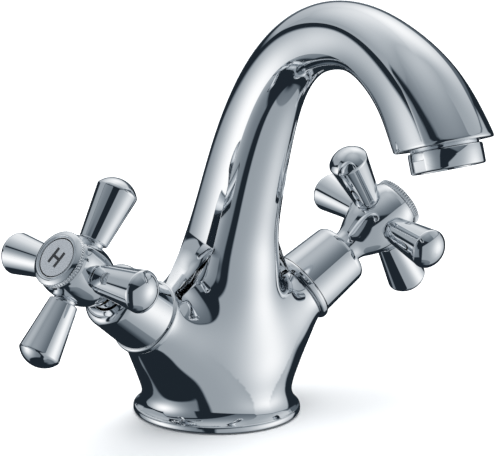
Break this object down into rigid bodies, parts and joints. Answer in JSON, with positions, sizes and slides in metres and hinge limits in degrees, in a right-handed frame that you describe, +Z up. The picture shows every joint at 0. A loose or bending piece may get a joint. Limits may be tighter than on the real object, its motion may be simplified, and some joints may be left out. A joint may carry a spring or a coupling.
{
  "type": "bathroom mixer faucet",
  "caption": "Deck-mounted bathroom mixer faucet: swan-neck spout over a round base, cross handles on angled shoulders, screwed-in aerator.",
  "frame": {"origin": "centre of the base flange's underside, where it rests on the deck", "axes": "+Z up from the deck, -Y towards the basin along the spout, -X towards the hot handle and +X towards the cold handle"},
  "size_m": [0.1772, 0.1578, 0.1526],
  "materials": {
    "chrome": "polished",
    "brass": "satin",
    "rubber": "matte",
    "disc_ceramic": "satin",
    "index_satin": "satin",
    "index_ink": "satin",
    "white_plastic": "satin",
    "steel": "satin"
  },
  "bodies": {
    "faucet": {"body": "chrome", "spout": "chrome", "base_seal": "rubber", "aerator_housing": "chrome", "aerator_seal": "rubber", "aerator_insert": "white_plastic", "aerator_mesh": "steel", "hot_bonnet": "brass", "hot_bonnet_ring": "rubber", "hot_seat_seal": "rubber", "hot_fixed_disc": "disc_ceramic", "hot_cover": "chrome", "cold_bonnet": "brass", "cold_bonnet_ring": "rubber", "cold_seat_seal": "rubber", "cold_fixed_disc": "disc_ceramic", "cold_cover": "chrome"},
    "hot_handle": {"hot_moving_disc": "disc_ceramic", "hot_spindle": "brass", "hot_lower_ring": "rubber", "hot_upper_ring": "rubber", "hot_clip": "steel", "hot_spline_bush": "white_plastic", "hot_hub": "chrome", "hot_handle_screw": "steel", "hot_index_cap": "chrome", "hot_index_disc": "index_satin", "hot_index_letter": "index_ink", "hot_arm_front": "chrome", "hot_arm_upper": "chrome", "hot_arm_rear": "chrome", "hot_arm_lower": "chrome"},
    "cold_handle": {"cold_moving_disc": "disc_ceramic", "cold_spindle": "brass", "cold_lower_ring": "rubber", "cold_upper_ring": "rubber", "cold_clip": "steel", "cold_spline_bush": "white_plastic", "cold_hub": "chrome", "cold_handle_screw": "steel", "cold_index_cap": "chrome", "cold_index_disc": "index_satin", "cold_index_letter": "index_ink", "cold_arm_front": "chrome", "cold_arm_upper": "chrome", "cold_arm_rear": "chrome", "cold_arm_lower": "chrome"}
  },
  "joints": [
    {"name": "hot_handle_turn", "type": "hinge", "parent": "faucet", "child": "hot_handle", "pos_m": [-0.06541, -0.00993, 0.06164], "axis": [-0.8145, -0.1436, 0.5621], "range_deg": [0, 90]},
    {"name": "cold_handle_turn", "type": "hinge", "parent": "faucet", "child": "cold_handle", "pos_m": [0.06541, -0.00993, 0.06164], "axis": [0.8145, -0.1436, 0.5621], "range_deg": [0, 90]}
  ]
}
